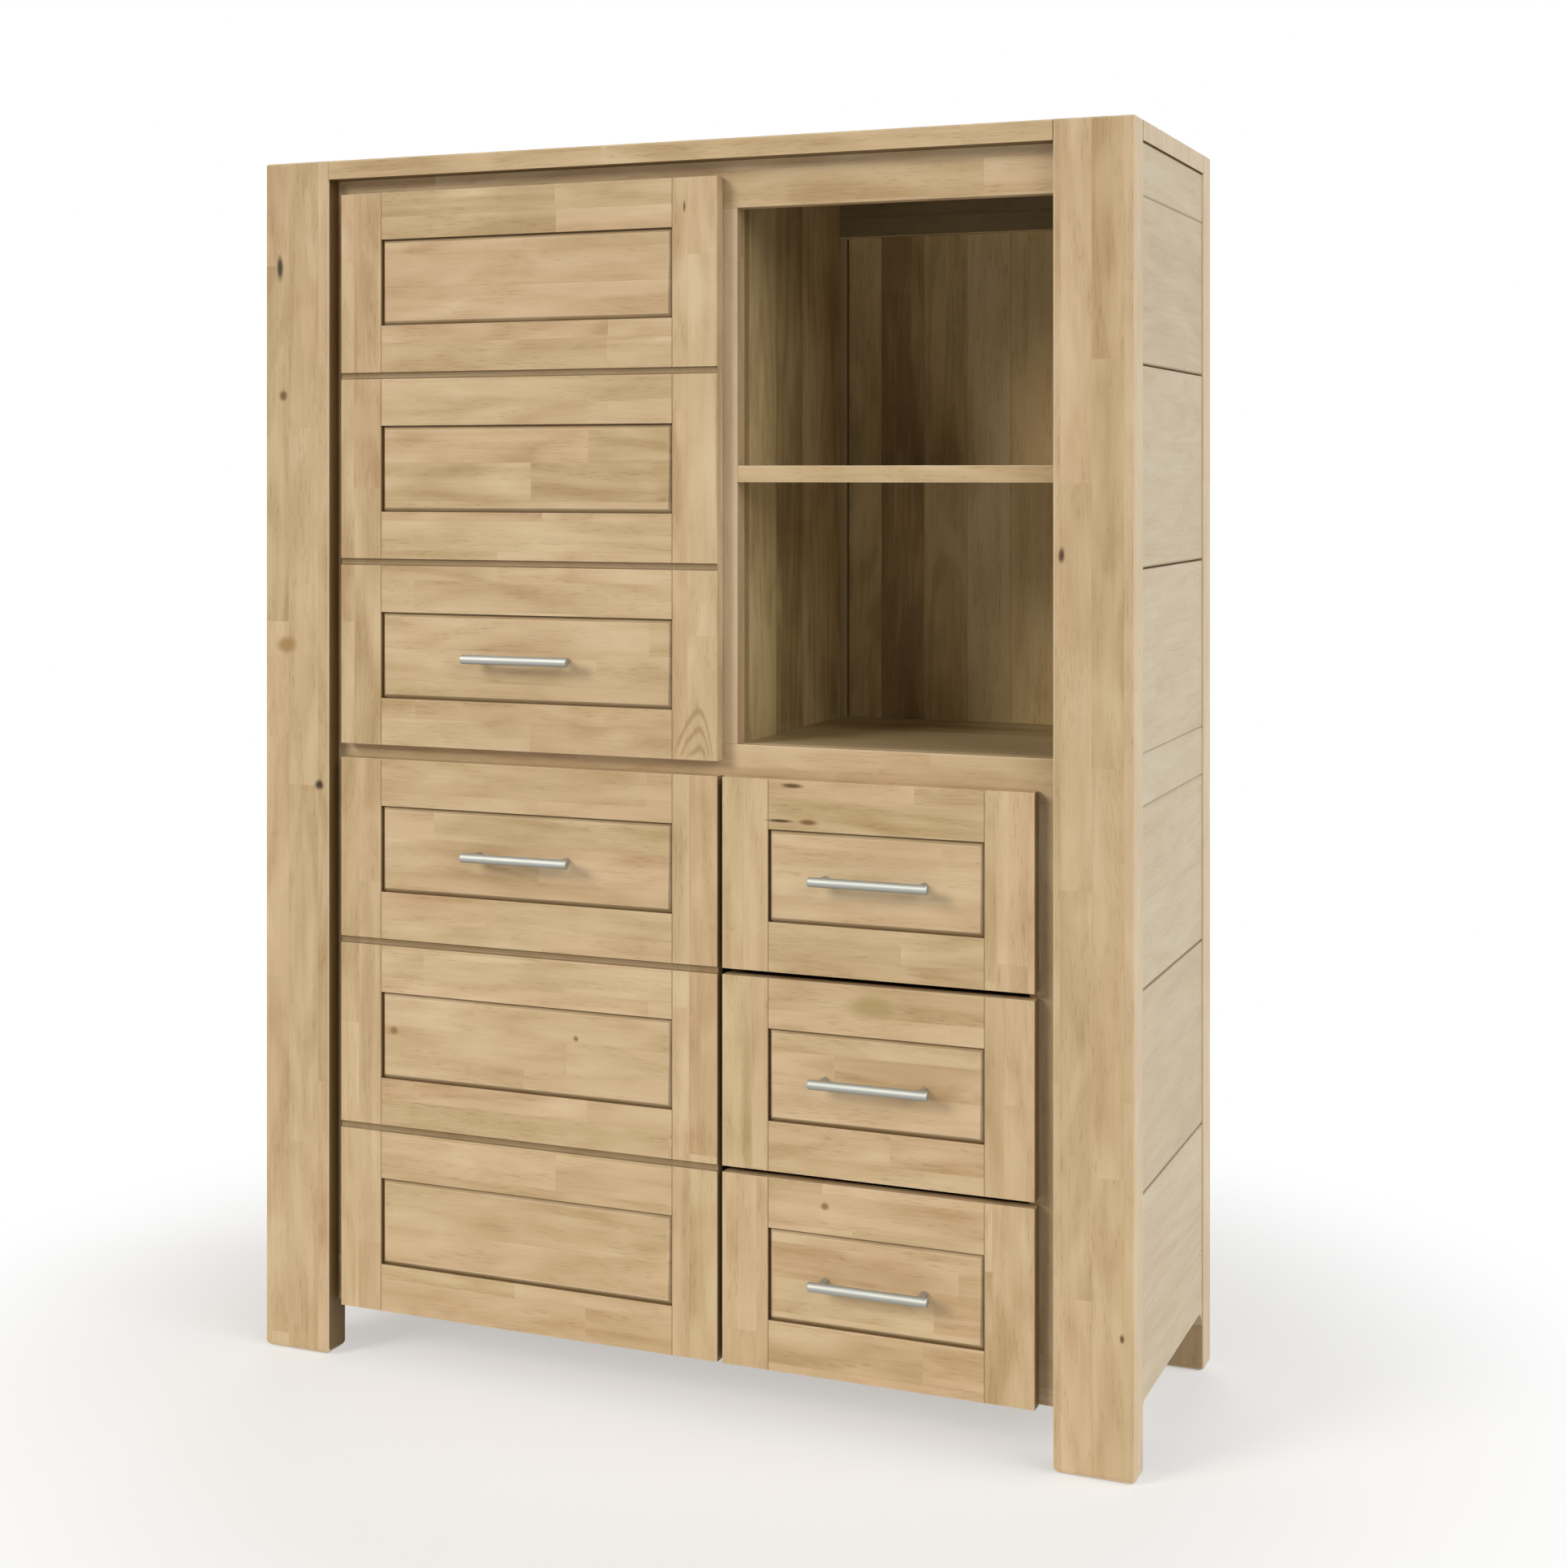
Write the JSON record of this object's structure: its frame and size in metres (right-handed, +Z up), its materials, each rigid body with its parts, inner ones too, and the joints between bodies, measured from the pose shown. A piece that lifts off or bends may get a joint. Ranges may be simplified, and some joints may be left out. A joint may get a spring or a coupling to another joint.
{
  "type": "highboard",
  "caption": "Solid oak highboard with two framed doors on concealed hinges, an open shelf compartment, drawers on wooden runners and steel bar handles",
  "frame": {"origin": "On the floor, under the middle of the box around the whole cabinet with its handles.", "axes": "+X goes to the right for somebody facing the front, +Y goes from the front to the back, +Z goes up."},
  "size_m": [1.2, 0.447, 1.6],
  "materials": {
    "oak": "oiled natural oak, satin",
    "side_oak": "oiled natural oak planks, satin",
    "inner_oak": "oiled natural oak inside",
    "drawer_wood": "smooth pale hardwood",
    "back_board": "oak-faced board",
    "satin_steel": "satin stainless steel",
    "hinge_metal": "nickel-plated steel"
  },
  "bodies": {
    "carcass": {"front_left_post": "oak", "front_right_post": "oak", "rear_left_post": "oak", "rear_right_post": "oak", "top_panel": "oak", "left_side_rails": "side_oak", "left_side_planks": "side_oak", "right_side_rails": "side_oak", "right_side_planks": "side_oak", "frame_top_rail": "oak", "frame_mid_rail": "oak", "frame_bottom_rail": "oak", "frame_left_stiles": "oak", "frame_centre_stile": "oak", "frame_right_stile": "oak", "partition": "inner_oak", "drawer_side_panel": "inner_oak", "bottom_board": "inner_oak", "mid_board_left": "inner_oak", "mid_board_right": "inner_oak", "open_shelf": "oak", "upper_cupboard_shelf": "inner_oak", "lower_cupboard_shelf": "inner_oak", "shelf_cleats": "inner_oak", "lower_back_panel": "back_board", "upper_back_panel": "back_board", "back_top_rails": "inner_oak", "corner_strips": "inner_oak", "drawer_runners": "drawer_wood", "hinge_arms": "hinge_metal"},
    "upper_links": {"upper_hinge_links": "hinge_metal"},
    "upper_door": {"upper_door_left_stile": "oak", "upper_door_right_stile": "oak", "upper_door_rails": "oak", "upper_door_panels": "oak", "upper_door_handle": "satin_steel", "upper_hinge_cups": "hinge_metal"},
    "lower_links": {"lower_hinge_links": "hinge_metal"},
    "lower_door": {"lower_door_left_stile": "oak", "lower_door_right_stile": "oak", "lower_door_rails": "oak", "lower_door_panels": "oak", "lower_door_handle": "satin_steel", "lower_hinge_cups": "hinge_metal"},
    "drawer_1": {"drawer_1_front_frame": "oak", "drawer_1_front_panel": "oak", "drawer_1_handle": "satin_steel", "drawer_1_box": "drawer_wood", "drawer_1_bottom": "back_board"},
    "drawer_2": {"drawer_2_front_frame": "oak", "drawer_2_front_panel": "oak", "drawer_2_handle": "satin_steel", "drawer_2_box": "drawer_wood", "drawer_2_bottom": "back_board"},
    "drawer_3": {"drawer_3_front_frame": "oak", "drawer_3_front_panel": "oak", "drawer_3_handle": "satin_steel", "drawer_3_box": "drawer_wood", "drawer_3_bottom": "back_board"}
  },
  "joints": [
    {"name": "upper_link_turn", "type": "hinge", "parent": "carcass", "child": "upper_links", "pos_m": [-0.445, -0.1675, 0], "axis": [0, 0, 1], "range_deg": [0, 36]},
    {"name": "upper_door_swing", "type": "hinge", "parent": "upper_links", "child": "upper_door", "pos_m": [-0.4715, -0.179, 0], "axis": [0, 0, 1], "range_deg": [-128, 0]},
    {"name": "lower_link_turn", "type": "hinge", "parent": "carcass", "child": "lower_links", "pos_m": [-0.445, -0.1675, 0], "axis": [0, 0, 1], "range_deg": [0, 36]},
    {"name": "lower_door_swing", "type": "hinge", "parent": "lower_links", "child": "lower_door", "pos_m": [-0.4715, -0.179, 0], "axis": [0, 0, 1], "range_deg": [-128, 0]},
    {"name": "drawer_1_slide", "type": "slide", "parent": "carcass", "child": "drawer_1", "axis": [0, -1, 0], "range_m": [0, 0.26]},
    {"name": "drawer_2_slide", "type": "slide", "parent": "carcass", "child": "drawer_2", "axis": [0, -1, 0], "range_m": [0, 0.26]},
    {"name": "drawer_3_slide", "type": "slide", "parent": "carcass", "child": "drawer_3", "axis": [0, -1, 0], "range_m": [0, 0.26]}
  ],
  "couplings": [
    {"joint": "upper_link_turn", "follows": "upper_door_swing", "ratio": -0.28125},
    {"joint": "lower_link_turn", "follows": "lower_door_swing", "ratio": -0.28125}
  ]
}
